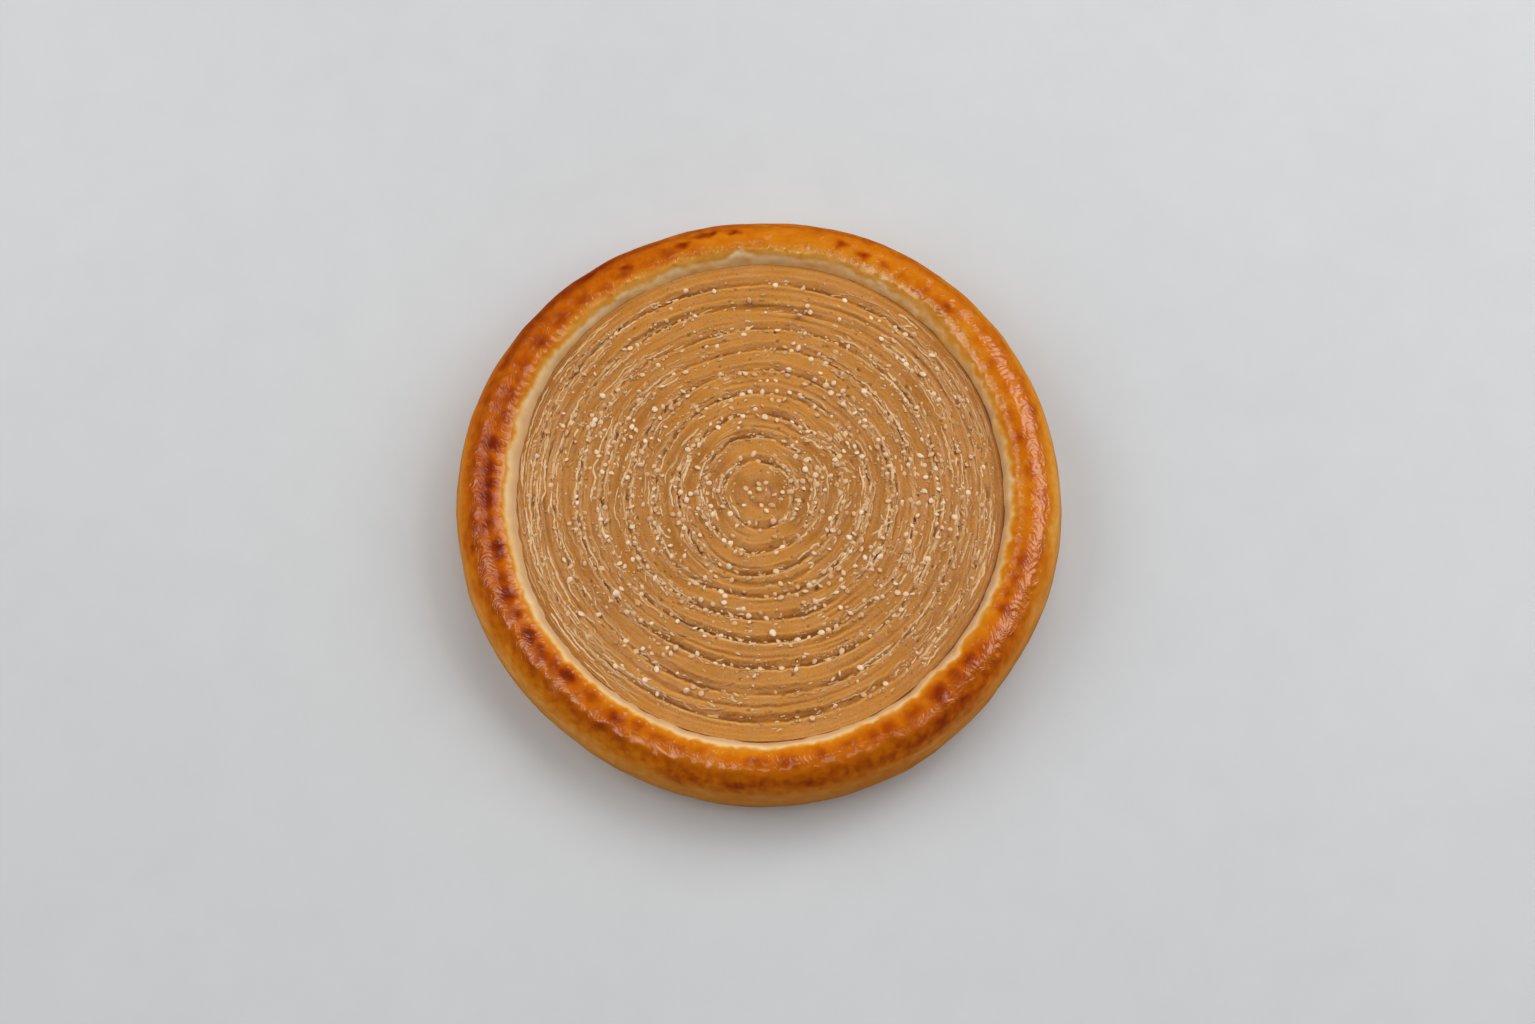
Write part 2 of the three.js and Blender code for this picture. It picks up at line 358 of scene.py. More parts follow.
    # where the browned crown gives way to the pale inner edge
    far = smooth(0.2, 0.95, np.sin(th))
    bead_line = by_direction(bead_table, th)
    right = smooth(0.2, 0.9, np.cos(th))
    lobes = np.abs(np.sin(30 * th + 2.6 * round_noise(n1, th, 5.5, 40))) - 0.64
    left = smooth(0.2, 0.9, -np.cos(th))
    edge = 5.7 + 0.8 * far + 1.0 * right + 0.5 * left - 0.35 * bell(turn_from(th, 228 * RAD), 0.0, 0.35) + 0.25 * smooth(0.8, 1.0, -np.sin(th)) + (0.35 + 1.2 * right) * lobes + 0.9 * round_noise(n2, th, 8.2, 50) + 0.5 * round_noise(n3, th, 2.9, 90) + 0.7 * smooth(0.4, 0.9, -np.sin(th)) * round_noise(n1, th, 6.6, 30) + 0.6 * (bead_line - 0.2)
    edge = edge + 0.5 * knobs + far * (0.8 + 0.9 * round_noise(n1, th, 9.6, 44))
    torn = np.zeros_like(th)
    for deg, half, reach in TEARS:
        spot = np.exp(-((np.degrees(turn_from(th, deg * RAD)) / half) ** 2))
        edge = edge - reach * spot * (0.75 + 0.5 * knobs)
        torn = np.maximum(torn, spot)
    bake = np.interp(cc, [-40, -26, -20, -15, -11.5, -8.5, -6, -3, 0, 3, 5, 7], [0.36, 0.36, 0.38, 0.42, 0.51, 0.59, 0.56, 0.50, 0.48, 0.44, 0.40, 0.36])
    bake = bake + 0.20 * (heat - 0.55) * smooth(-20, -6, cc) * (1 - smooth(2, 7, cc))
    far_left = smooth(0.1, 0.7, np.sin(th)) * smooth(0.2, 0.7, -np.cos(th))
    # the outside is painted lighter or darker by direction (partly painted light), and browned blotches are added
    bake = bake + by_direction(OUTER_BAKE_AND_LIGHT, th) * (1 - smooth(-9, -4, cc)) + 0.36 * blotch
    bake = bake + (0.10 * far_left + 0.05 * left * (1 - far_left)) * smooth(-9, -4, cc) * (1 - smooth(1, 4, cc))
    # painted light: the far inner shoulder, which faces away from the lamps, is painted lighter, and so is a patch of
    # the lower left crown where highlights fall; the lower right crown is more browned
    bake = bake - far * (0.03 * smooth(-3, 1, cc) + 0.07 * smooth(2, 5, cc)) - 0.07 * bell(turn_from(th, 225 * RAD), 0.0, 0.4) * bell(cc, -2.3, 2.0) + 0.05 * bell(turn_from(th, 318 * RAD), 0.0, 0.45) * bell(cc, -2.5, 3.0)
    bake = bake + 0.05 * swell + (0.035 + (0.04 + 0.06 * smooth(0.2, 0.8, -np.sin(th))) * (1 - smooth(-7, -4, cc))) * octaves(n1, X / 3.1, Y / 3.1, z0 / 3.1, 3) * smooth(-30, -10, cc)
    flow = octaves(n2, th * CROWN_RADIUS / 16 + 0.12 * cc, cc / 3.2, np.zeros_like(cc), 3)  # soft streaks on the outside
    seam = smooth(0.0, 0.06, th) * (1 - smooth(TAU - 0.06, TAU, th))
    flow = flow * seam
    tan = (1 - smooth(-16.5 + 2.5 * flow, -9.5 + 2.5 * flow, cc)) * (1 - 0.8 * far) * (1 - 0.7 * far_left) * (1 - 0.3 * smooth(0.5, 0.95, -np.sin(th)))
    gone = cc - edge
    blend = 1.6 - 0.6 * far
    pale = smooth(-blend, blend, gone)
    shade = (0.07 * far * smooth(0.0, 3.5, gone) + 0.05 * bell(turn_from(th, 0.9), 0.0, 0.5) + 0.05 * right) * (1 + 0.5 * knobs) * (1 - 0.8 * torn * bell(gone, 0.3, 1.6))
    bake = bake * (1 - pale) + pale * (0.08 + 0.05 * knobs + 0.06 * swell + shade - 0.05 * torn)
    d += 0.11 * pale * knobs - 0.15 * pale + 0.3 * torn * knobs * bell(gone, 0.5, 2.0)

    glaze = (0.35 * smooth(-30, -20, cc) + 0.65 * smooth(-9.5, -6.5, cc)) * np.maximum(1 - smooth(-1.0, 1.6, gone), 0.7 * torn)
    glaze = glaze * (1 - 0.5 * left * bell(cc, 3.4, 2.2))
    glaze = glaze * (1 - 0.4 * bell(turn_from(th, 315 * RAD), 0.0, 0.3) * bell(cc, 0.5, 2.5)) * (1 - 0.35 * bell(turn_from(th, 270 * RAD), 0.0, 0.3) * bell(cc, 2.5, 2.5))
    wrinkle = (crown + bell(cc, 3.2, 1.3)) * (0.25 + 0.75 * chain)

    # the foot of the wall comes in unevenly over the paste, most on the left
    foot = 0.05 + 0.9 * smooth(0.75, 0.99, -np.cos(th)) + 0.4 * round_noise(n1, th, 1.7, 70) + 0.3 * round_noise(n2, th, 4.1, 130)
    d = d + np.maximum(foot, -0.2) * smooth(7.0, 11.0, cc)
    # the wall is greyed towards the paste: paste smeared on it, and painted shade low on the wall where it meets the
    # filling
    smear_and_shade = smooth(0.4, 3.8, gone + 0.5 * knobs) * (1 - 0.6 * far * (1 - 0.6 * smooth(0.35, 0.75, -np.cos(th))))

    r, z = uneven(r0, th, z0)
    r = r + d * nr
    z = np.maximum(z + d * nz, 0.0)
    arc = th - 0.020 * np.minimum(bow, 3.5)
    wrap = np.stack([np.cos(arc) * CROWN_RADIUS, np.sin(arc) * CROWN_RADIUS, cc], -1)
    points = np.stack([r * np.cos(th), r * np.sin(th), z], -1)
    marks = np.stack([bake, glaze, wrinkle, chain_row + outer_row + inner_row, tan, smear_and_shade], -1)

    # rings from the middle of the underside, up over the rim and down into the well
    co, val, vec, rings = [], [], [], []

    def add(pts, mark, wrapped):
        rings.append((sum(len(p) for p in co), len(pts)))
        co.append(pts)
        val.append(mark)
        vec.append(wrapped)

    def plain(rad, height, b, n):
        n = 1 if rad == 0 else n
        t = np.arange(n) * TAU / n
        rr, zz = uneven(np.full(n, rad), t, np.full(n, height))
        rr = rr if rad else np.zeros(1)
        flat = np.stack([np.cos(t) * rad, np.sin(t) * rad, np.full(n, -50.0)], -1)
        add(np.stack([rr * np.cos(t), rr * np.sin(t), zz], -1), np.tile([b, 0.0, 0.0, 0.0, 1.0 if height == 0 else 0.0, 0.0], (n, 1)), flat)

    for rad in (0.0, 30.0, 60.0, 80.0, 90.0):
        plain(rad, 0.0, 0.42, 400)
    at = 0
    for n in counts:
        add(points[at : at + n], marks[at : at + n], wrap[at : at + n])
        at += n
    for rad, height, n in ((WALL_TOP_RADIUS - 3.4, 15.0, 400), (FLOOR_RADIUS, FLOOR_THICKNESS, 400), (40.0, FLOOR_THICKNESS, 200), (0.0, FLOOR_THICKNESS, 1)):
        plain(rad, height, 0.05, n)

    co, val, vec = np.concatenate(co), np.concatenate(val), np.concatenate(vec)
    co[:, :2] += SHIFT
    return make_mesh("crust_baked", co, ring_faces(rings), {"bake": val[:, 0], "glaze": val[:, 1], "wrinkle": val[:, 2], "ripple": val[:, 3], "tan": val[:, 4], "smear_and_shade": val[:, 5]}, {"wrap": vec})


# The solids are centred on their outline, so the same small shift applies here.
def outline_shift():
    theta = np.arange(64) * TAU / 64
    r, _ = uneven(np.full(64, PIE_RADIUS), theta, np.full(64, BULGE_HEIGHT))
    x, y = r * np.cos(theta), r * np.sin(theta)
    return -np.array([(x.min() + x.max()) / 2, (y.min() + y.max()) / 2])


SHIFT = outline_shift()


# ---- filling ----------------------------------------------------------------------------
class Paste:
    """Height of the combed paste above the underside, and what its surface looks like, at radius r and angle th."""

    def __init__(self):
        self.n = [Noise(s) for s in (31, 32, 33, 34, 35, 36)]
        rng = np.random.default_rng(77)
        # shorter comb marks between the rings: radius, start angle, length, depth, half width, drift
        self.marks = []
        for _ in range(150):
            r = math.sqrt(rng.uniform(12**2, 82**2))
            self.marks.append((r, rng.uniform(0, TAU), rng.uniform(0.3, 1.8), rng.uniform(0.15, 0.6), rng.uniform(0.35, 0.8), rng.uniform(-1.4, 1.4)))
        self.pits = [(math.sqrt(rng.uniform(0, 80**2)), rng.uniform(0, TAU), rng.uniform(0.35, 0.75), rng.uniform(0.3, 0.9)) for _ in range(240)]

    def drag(self, r, th, size, length, which, taps=9):
        """Noise smeared along the rings over a fixed length."""
        n = self.n[which]
        reach = length / np.maximum(r, 4.0)
        total = 0.0
        for t in np.linspace(-0.5, 0.5, taps):
            a = th + t * reach
            total = total + n(r * np.cos(a) / size, r * np.sin(a) / size, which * 9.7)
        return total / math.sqrt(taps) * 1.5

    def straight(self, r, th):
        """Radius with the wander of the rings taken out."""
        free = smooth(0, 20, r) * (1 - smooth(70, 82, r))
        base = r - free * waves(RING_WAVES, th, r * 0.11)
        return base + (0.5 * round_noise(self.n[0], th, r * 0.12, 16) + 0.9 * round_noise(self.n[3], th, r * 0.05, 9)) * free

    def drift(self, k, th):
        return 0.6 * round_noise(self.n[4], th, 7.7 * k, 7)

    def ring(self, k, th):
        """Radius of the middle of ring k."""
        target = FIRST_GROOVE + RING_PITCH * k + self.drift(k, th)
        r = target
        for _ in range(4):
            r = target + r - self.straight(r, th)
        return r

    def __call__(self, r, th):
        x, y = r * np.cos(th), r * np.sin(th)
        base = self.straight(r, th)
        side, close = np.abs(np.cos(th)), np.clip(-np.sin(th), 0, 1)
        tear = np.clip(0.40 + 0.55 * side + 0.6 * self.n[1](x / 11, y / 11, 4.4), 0.15, 1.15) * smooth(1, 9, r)
        soft = 1 - smooth(0.4, 0.85, side)  # in front and behind the rings are wide and soft
        ragged = (0.40 * self.n[5](x / 1.8, y / 1.8, 1.3) + 0.30 * self.n[5](x / 0.85, y / 0.85, 6.1)) * (1 - 0.2 * soft) + 0.45 * soft * self.n[2](x / 4.4, y / 4.4, 2.9)
        leans = np.tanh(5 * np.sin(th))  # the comb leaned, so one flank of a trough is steep

        # the rings the comb left, with torn paste along them
        z = np.zeros_like(r)
        trough_oil_and_shade, lip, torn = np.zeros_like(r), np.zeros_like(r), np.zeros_like(r)
        for k in range(GROOVE_COUNT):
            rk = FIRST_GROOVE + RING_PITCH * k
            q = base - rk - self.drift(k, th) + ragged * (0.35 + 0.65 * tear)
            # in front and behind a soft trough with a sharp bottom, at the sides a chain of pits in a torn ridge
            depth = 0.95 * soft * np.clip(0.9 + 0.8 * round_noise(self.n[2], th, 3.1 * k, 14) + 0.7 * self.n[1](x / 8, y / 8, 1.7 * k) + 0.3 * close, 0.1, 1.4)
            half = np.maximum(1.75 + 0.85 * np.tanh(q * leans / 0.5) + 0.4 * round_noise(self.n[3], th, 5.3 * k, 18), 0.7)
            g = np.clip(1 - np.abs(q) / half, 0, 1) ** 1.15
            holes = smooth(-0.15, 0.45, self.n[1](np.cos(th) * rk / 3.4, np.sin(th) * rk / 3.4, 2.7 * k))
            h = (1 - soft) * np.exp(-((q / 0.75) ** 2)) * (0.25 + 0.75 * holes)
            z += 0.30 * (1 - soft) * np.exp(-((q / 2.0) ** 2)) - depth * g - 1.05 * h
            # painted shade: the troughs are coloured darker by their depth, with some darker oily paste there too
            trough_oil_and_shade = np.maximum(trough_oil_and_shade, np.maximum(0.9 * g * depth, 1.15 * h))
            lip += np.exp(-(((np.abs(q) - half - 0.1) / 0.45) ** 2))
            torn = np.maximum(torn, np.exp(-((q / 2.3) ** 2)))
        for rk, start, length, depth, width, drift in self.marks:
            a = (th - start) % TAU
            inside = smooth(0, 0.2, a) * (1 - smooth(length - 0.25, length, a))
            q = base - rk - drift * a / length + 0.5 * ragged
            g = np.exp(-((q / width) ** 2)) * inside
            z -= depth * (0.55 + 0.25 * soft) * g
            trough_oil_and_shade = np.maximum(trough_oil_and_shade, 0.7 * g * depth)
            lip += 0.7 * np.exp(-(((q - 1.6 * width) / (0.6 * width)) ** 2)) * inside
            torn = np.maximum(torn, 0.7 * np.exp(-((q / 1.6) ** 2)) * inside)
        lip = np.clip(lip, 0, 1)
        z += 0.14 * lip
        # the middle: a small dimple with a hump
        z -= 0.9 * bell(r, 4.0, 1.6) * (0.7 + 0.3 * np.cos(th + 0.8))
        trough_oil_and_shade = np.maximum(trough_oil_and_shade, 0.7 * bell(r, 4.0, 1.6))
        torn = np.maximum(torn, 0.8 * (1 - smooth(3, 7, r)))

        # faint comb lines, and rough spots along the torn lines
        z += (0.07 - 0.04 * soft) * self.drag(r, th, 0.9, 8.0, 1) + 0.06 * torn * self.drag(r, th, 1.0, 3.0, 2)
        near, _ = cells((x + 130) / 1.5, (y + 130) / 1.5, 512, 41, 0.95, 512)
        crumb = smooth(-0.1, 0.5, self.n[4](x / 3.4, y / 3.4, 8.8) - 0.25) * torn * (0.4 + 0.6 * tear)
        z += 0.36 * crumb * (0.7 - near)
        z += 0.13 * octaves(self.n[4], x / 7, y / 7, 2.2, 2)
        # small pits, also painted darker in the colour as shade
        shaded_pit = np.zeros_like(r)
        for pr, pa, size, depth in self.pits:
            d2 = (x - pr * math.cos(pa)) ** 2 + (y - pr * math.sin(pa)) ** 2
            shaded_pit = np.maximum(shaded_pit, depth * np.exp(-d2 / size**2))
        z -= 0.8 * shaded_pit
        # the edge: smeared up the dough on the left, parted from it on the right
        edge = smooth(82.0, 83.2, r)
        part = smooth(0.0, 0.8, np.cos(th - 0.35) + 0.7 * round_noise(self.n[2], th, 9.1, 34))
        z = z * (1 - 0.6 * edge) + (0.15 + 0.25 * ragged) * bell(r, 83.2, 0.5) + (0.25 - 0.5 * part) * smooth(83.6, 84.5, r)
        band = torn * (1 - soft) * np.clip(0.7 + 0.9 * self.n[0](x / 2.2, y / 2.2, 5.5), 0.0, 1.2)
        # at the sides the paste off the torn lines is painted darker as well: painted shade between the strings
        trough_oil_and_shade = np.maximum(trough_oil_and_shade, 0.9 * (1 - soft) * (1 - 0.45 * torn))
        return FILL_HEIGHT - 0.05 + z, trough_oil_and_shade, band, shaded_pit


PASTE = Paste()


def build_filling():
    edge = WALL_TOP_RADIUS + 0.15
    bands = [(edge, 43.0, 102, 704), (43.0, 21.5, 52, 352), (21.5, 10.6, 27, 176), (10.6, 0.0, 27, 88)]
    co, val, rings = [], [], []

    def add(r, th, z, *marks):
        rr, zz = uneven(r, th, z)
        rings.append((sum(len(p) for p in co), len(r)))
        co.append(np.stack([rr * np.cos(th), rr * np.sin(th), zz], 1))
        val.append(np.stack(marks, 1))

    count = bands[0][3]
    th = np.arange(count) * TAU / count
    none = np.zeros(count)
    add(np.zeros(1), np.zeros(1), np.full(1, FLOOR_THICKNESS + 0.3), *[np.zeros(1)] * 4)
    add(np.full(count, 40.0), th, np.full(count, FLOOR_THICKNESS + 0.3), *[none] * 4)
    add(np.full(count, FLOOR_RADIUS - 0.5), th, np.full(count, FLOOR_THICKNESS + 0.3), *[none] * 4)
    radii, counts = [], []
    for hi, lo, steps, n in bands:
        for i in range(steps):
            radii.append(hi + (lo - hi) * i / steps)
            counts.append(n)
    rows = [(np.full(n, rad), np.arange(n) * TAU / n) for rad, n in zip(radii, counts)]
    R, T = np.concatenate([a for a, _ in rows]), np.concatenate([b for _, b in rows])
    Z, G, F, P = PASTE(R, T)
    inner, outer = PASTE(np.maximum(R - 0.8, 0), T)[0], PASTE(np.minimum(R + 0.8, edge), T)[0]
    relief_for_shading = Z - (inner + outer) / 2  # height above, or below, what is beside it: painted light on ridges and painted shade in hollows
    at = 0
    for rad, n in zip(radii, counts):
        s = slice(at, at + n)
        add(R[s], T[s], Z[s], G[s], F[s], P[s], relief_for_shading[s])
        at += n
    z0, g0, f0, p0 = PASTE(np.zeros(1), np.zeros(1))
    add(np.zeros(1), np.zeros(1), z0, g0, f0, p0, np.zeros(1))
    co, val = np.concatenate(co), np.concatenate(val)
    co[:, :2] += SHIFT
    return make_mesh("filling_combed", co, ring_faces(rings), {"trough_oil_and_shade": val[:, 0], "flake": val[:, 1], "shaded_pit": val[:, 2], "relief_shading": val[:, 3]})


# ---- sesame seeds -----------------------------------------------------------------------
SEED_RINGS, SEED_SIDES = 8, 10


def seed_shape():
    """One seed of unit length along x, rounder at one end and pointed at the other."""
    t = np.linspace(0, 1, SEED_RINGS + 1)[1:-1]
    along = -0.5 + t
    girth = np.sin(math.pi * t**0.88) ** 0.72
    a = np.arange(SEED_SIDES) * TAU / SEED_SIDES
    pts = [[-0.5, 0, 0]]
    for x, g in zip(along, girth):
        pts += [[x, 0.5 * g * math.cos(b), 0.5 * g * math.sin(b)] for b in a]
    pts.append([0.5, 0, 0])
    rings = [(0, 1)] + [(1 + i * SEED_SIDES, SEED_SIDES) for i in range(len(t))] + [(1 + len(t) * SEED_SIDES, 1)]
    faces = ring_faces(rings)
    return np.array(pts), faces


def seed_places():
    """Where the seeds lie: mostly along the grooves, some in clusters, few near the wall."""
    rng = np.random.default_rng(2024)
    clusters = [(19.0, 4.0, 5.0, 20), (-34.0, -56.0, 4.0, 13), (-23.0, -8.0, 6.0, 9), (59.0, 12.0, 7.0, 16), (27.0, -30.0, 6.0, 12),
                (-12.0, -34.0, 7.0, 9), (4.0, 33.0, 8.0, 8), (-50.0, 20.0, 8.0, 12)]
    clump = Noise(91)
    placed = []

    def put(x, y, gap):
        if math.hypot(x, y) < 81 and all((x - a) ** 2 + (y - b) ** 2 > gap * gap for a, b in placed):
            placed.append((x, y))

    for x, y, spread, count in clusters:
        for _ in range(count):
            put(x + rng.normal(0, spread * 0.6), y + rng.normal(0, spread * 0.6), 1.7)
    radii = np.array([4.0] + [FIRST_GROOVE + RING_PITCH * k for k in range(GROOVE_COUNT)])
    weight = radii * (1.0 - 0.80 * smooth(40, 76, radii))
    weight /= weight.sum()
    tries = 0
    while len(placed) < 740 and tries < 30000:
        tries += 1
        a = rng.uniform(0, TAU)
        if rng.random() < 0.62:
            r = rng.choice(radii, p=weight) + rng.normal(0, 1.1)
            free = float(smooth(0, 20, np.array(r)) * (1 - smooth(70, 82, np.array(r))))
            r += free * float(waves(RING_WAVES, np.array(a), r * 0.11))
        else:
            r = 78.0 * math.sqrt(rng.random())
            if rng.random() > 1.0 - 0.8 * float(smooth(35, 74, np.array(r))):
                continue
        x, y = r * math.cos(a), r * math.sin(a)
        lean = 0.45 + 0.55 * abs(math.cos(a)) + 0.9 * float(clump(np.array(x / 9), np.array(y / 9), 0.5))
        if rng.random() < lean:
            put(x, y, 1.9)
    return placed, rng


def build_seeds():
    shape, faces = seed_shape()
    placed, rng = seed_places()
    xy = np.array(placed)
    r, th = np.hypot(xy[:, 0], xy[:, 1]), np.arctan2(xy[:, 1], xy[:, 0])
    z = PASTE(r, th)[0]
    e = 0.9
    slope_r = (PASTE(r + e, th)[0] - PASTE(np.maximum(r - e, 0), th)[0]) / (2 * e)
    co, fc, tone, along = [], [], [], []
    for i, (x, y) in enumerate(placed):
        length = float(np.clip(rng.normal(2.12, 0.36), 1.3, 3.0))
        wide = length * rng.uniform(0.62, 0.95)
        thick = length * rng.uniform(0.34, 0.48)
        yaw = rng.uniform(0, TAU)
        tilt = rng.normal(0, 0.28)
        roll = rng.normal(0, 0.35)
        if rng.random() < 0.10:
            roll = rng.uniform(0.7, 1.4)
        if rng.random() < 0.08:
            tilt = rng.uniform(0.5, 1.0)
        p = shape * np.array([length, wide, thick])
        p[:, 2] += 0.10 * length * (p[:, 0] / length) ** 2  # a slight curve
        cr, sr = math.cos(roll), math.sin(roll)
        p = p @ np.array([[1, 0, 0], [0, cr, sr], [0, -sr, cr]])
        ct, st = math.cos(tilt), math.sin(tilt)
        p = p @ np.array([[ct, 0, st], [0, 1, 0], [-st, 0, ct]])
        cy, sy = math.cos(yaw), math.sin(yaw)
        p = p @ np.array([[cy, sy, 0], [-sy, cy, 0], [0, 0, 1]])
        # lean with the slope of the paste
        lean = math.atan(float(np.clip(slope_r[i], -0.7, 0.7)))
        ax = np.array([-math.sin(th[i]), math.cos(th[i]), 0.0])
        c1, s1 = math.cos(-lean), math.sin(-lean)
        p = p * c1 + np.cross(ax, p) * s1 + np.outer(p @ ax, ax) * (1 - c1)
        sunk = rng.uniform(0.1, 0.65) * thick
        low = p[:, 2].min()
        p[:, 2] += z[i] - low - sunk - 0.10 * thick
        rr, _ = uneven(r[i : i + 1], th[i : i + 1], z[i : i + 1])
        p[:, 0] += rr[0] * math.cos(th[i])
        p[:, 1] += rr[0] * math.sin(th[i])
        base = sum(len(q) for q in co)
        f = faces + base
        f[faces < 0] = -1
        co.append(p)
        fc.append(f)
        tone.append(np.full(len(p), rng.random()))
        along.append(shape[:, 0] + 0.5)
    co = np.concatenate(co)
    co[:, :2] += SHIFT
    return make_mesh("sesame_seeds", co, np.concatenate(fc), {"tone": np.concatenate(tone), "along": np.concatenate(along)})


# ---- strings of paste drawn out by the comb ----------------------------------------------
STRING_SIDES = 6


def build_strings():
    """Rounded strings drawn out of the paste: long ones by the wall, a torn pair along each ring, and short bits."""
    rng = np.random.default_rng(606)
    patch, sway = Noise(95), Noise(96)
    paths = []  # x, y, half width, half height, tone

    def lay(rad, ang, wide, tall, tone):
        paths.append((rad * np.cos(ang), rad * np.sin(ang), wide, tall, tone))

    def wave(at, size, seed):
        return sway(at / size, np.full(len(at), seed), np.full(len(at), 0.5))

    for base in (74.8, 76.2, 77.6, 78.9, 80.1, 81.2, 82.2, 83.1):
        for middle in (0.0, math.pi):
            a = middle - rng.uniform(0.55, 0.95)
            while a < middle + 0.85:
                length = rng.uniform(6, 18) * (1.5 if middle else 1.0)
                at = np.linspace(-0.5, 0.5, int(round(length / 0.8)) + 1) * length
                rad = base + rng.normal(0, 0.25) + rng.normal(0, 0.6) * at / length + 0.45 * wave(at, 2.6, len(paths) * 3.7) + 0.2 * wave(at, 1.2, len(paths) * 5.9)
                if rng.random() < (0.9 if middle else 0.5):
                    lay(rad, a + (0.5 * length + at) / base, rng.uniform(0.24, 0.42), rng.uniform(0.2, 0.32), rng.random() * (1.0 if middle else 0.6))
                a += (length + rng.uniform(0.5, 6.0)) / base

    # along each ring, on both sides of its pits and sometimes further off
    for k in range(GROOVE_COUNT):
        rk = FIRST_GROOVE + RING_PITCH * k
        for offset, share in ((-0.95, 1.0), (0.95, 0.9), (-2.1, 0.5), (2.2, 0.5), (3.6, 0.3)):
            a, end = rng.uniform(0, 0.5), TAU
            while a < end:
                length = rng.uniform(2.0, 4.5) + rng.uniform(0, 0.28) * rk
                middle = a + 0.5 * length / rk
                x, y = rk * math.cos(middle), rk * math.sin(middle)
                beside = float(smooth(0.3, 0.8, np.array(abs(math.cos(middle)))))
                keep = share * (0.02 + 1.05 * beside) + 0.35 * beside * float(patch(np.array(x / 9), np.array(y / 9), 0.5))
                if rng.random() < keep:
                    at = np.linspace(-0.5, 0.5, int(round(length / 0.7)) + 1) * length
                    ang = middle + at / rk
                    rad = PASTE.ring(k, ang) + offset * (1 + 0.3 * wave(at, 6.0, len(paths) * 1.9)) + 0.6 * wave(at, 2.4, len(paths) * 3.7) + 0.42 * wave(at, 1.1, len(paths) * 5.9) + rng.normal(0, 0.25)
                    lay(rad, ang, rng.uniform(0.26, 0.5), rng.uniform(0.2, 0.34), rng.random())
                a += (length + rng.uniform(0.3, 3.0)) / rk

    # short bits across and beside the rings, some in small combs
    while len(paths) < 1560:
        k = int(rng.integers(0, GROOVE_COUNT))
        if rng.random() > (k + 1.5) / (GROOVE_COUNT + 0.5):
            continue
        rk, a = FIRST_GROOVE + RING_PITCH * k, rng.uniform(0, TAU)
        x, y = rk * math.cos(a), rk * math.sin(a)
        if rng.random() > 0.04 + 0.85 * abs(math.cos(a)) ** 1.5 + 0.5 * float(patch(np.array(x / 9), np.array(y / 9), 0.5)):
            continue
        r = float(PASTE.ring(k, np.array(a))) + rng.normal(0, 1.5)
        if not 3.0 < r < 82.0:
            continue
        length = min(rng.uniform(1.5, 5.0), 0.6 * r)
        slant = rng.normal(0, 0.28)
        if rng.random() < 0.3:  # a link across the ring
            slant, length = rng.choice([-1.0, 1.0]) * rng.uniform(1.2, 3.0), min(length, rng.uniform(0.5, 1.1))
        comb = int(rng.integers(2, 4)) if rng.random() < 0.04 else 1
        for j in range(comb):
            at = np.linspace(-0.5, 0.5, max(3, int(round(length / 0.7))) + 1) * length * rng.uniform(0.75, 1.1)
            lay(r + 0.8 * j + slant * at + 0.35 * wave(at, 2.2, len(paths) * 3.7), a + at / r, rng.uniform(0.22, 0.46), rng.uniform(0.18, 0.3), rng.random())

    X, Y = np.concatenate([q[0] for q in paths]), np.concatenate([q[1] for q in paths])
    Z = PASTE(np.hypot(X, Y), np.arctan2(Y, X))[0]
    ring = np.arange(STRING_SIDES) * TAU / STRING_SIDES
    co, fc, tones, at, count = [], [], [], 0, 0
    for i, (x, y, wide, tall, tone) in enumerate(paths):
        n = len(x)
        soft = [0.25, 0.5, 0.25]
        x, y, z = (np.convolve(np.pad(v, 1, mode="edge"), soft, mode="valid") for v in (x, y, Z[at : at + n]))
        at += n
        t = np.linspace(-1, 1, n)
        girth = np.clip(1 + 0.8 * sway(np.arange(n) * 0.7, np.full(n, i * 5.3), np.full(n, 8.5)), 0.4, 1.8)
        taper = np.clip(1 - np.abs(t) ** 5, 0.12, 1) ** 0.5 * girth
        rad, ang = np.hypot(x, y), np.arctan2(y, x)
        rad, z = uneven(rad, ang, z - 0.1 * tall)
        x, y = rad * np.cos(ang), rad * np.sin(ang)
        dx, dy = np.gradient(x), np.gradient(y)
        size = np.maximum(np.hypot(dx, dy), 1e-6)
        sx, sy = dy / size, -dx / size
        out, lift = (wide * taper)[:, None] * np.cos(ring), (tall * np.minimum(taper, 1.1))[:, None] * np.sin(ring)
        body = np.stack([x[:, None] + sx[:, None] * out, y[:, None] + sy[:, None] * out, z[:, None] + lift], -1).reshape(-1, 3)
        pts = np.concatenate([[[x[0], y[0], z[0]]], body, [[x[-1], y[-1], z[-1]]]])
        f = ring_faces([(0, 1)] + [(1 + STRING_SIDES * k, STRING_SIDES) for k in range(n)] + [(1 + STRING_SIDES * n, 1)])
        shifted = f + count
        shifted[f < 0] = -1
        co.append(pts)
        fc.append(shifted)
        tones.append(np.full(len(pts), tone))
        count += len(pts)
    co = np.concatenate(co)
    co[:, :2] += SHIFT
    return make_mesh("paste_strings", co, np.concatenate(fc), {"tone": np.concatenate(tones)})


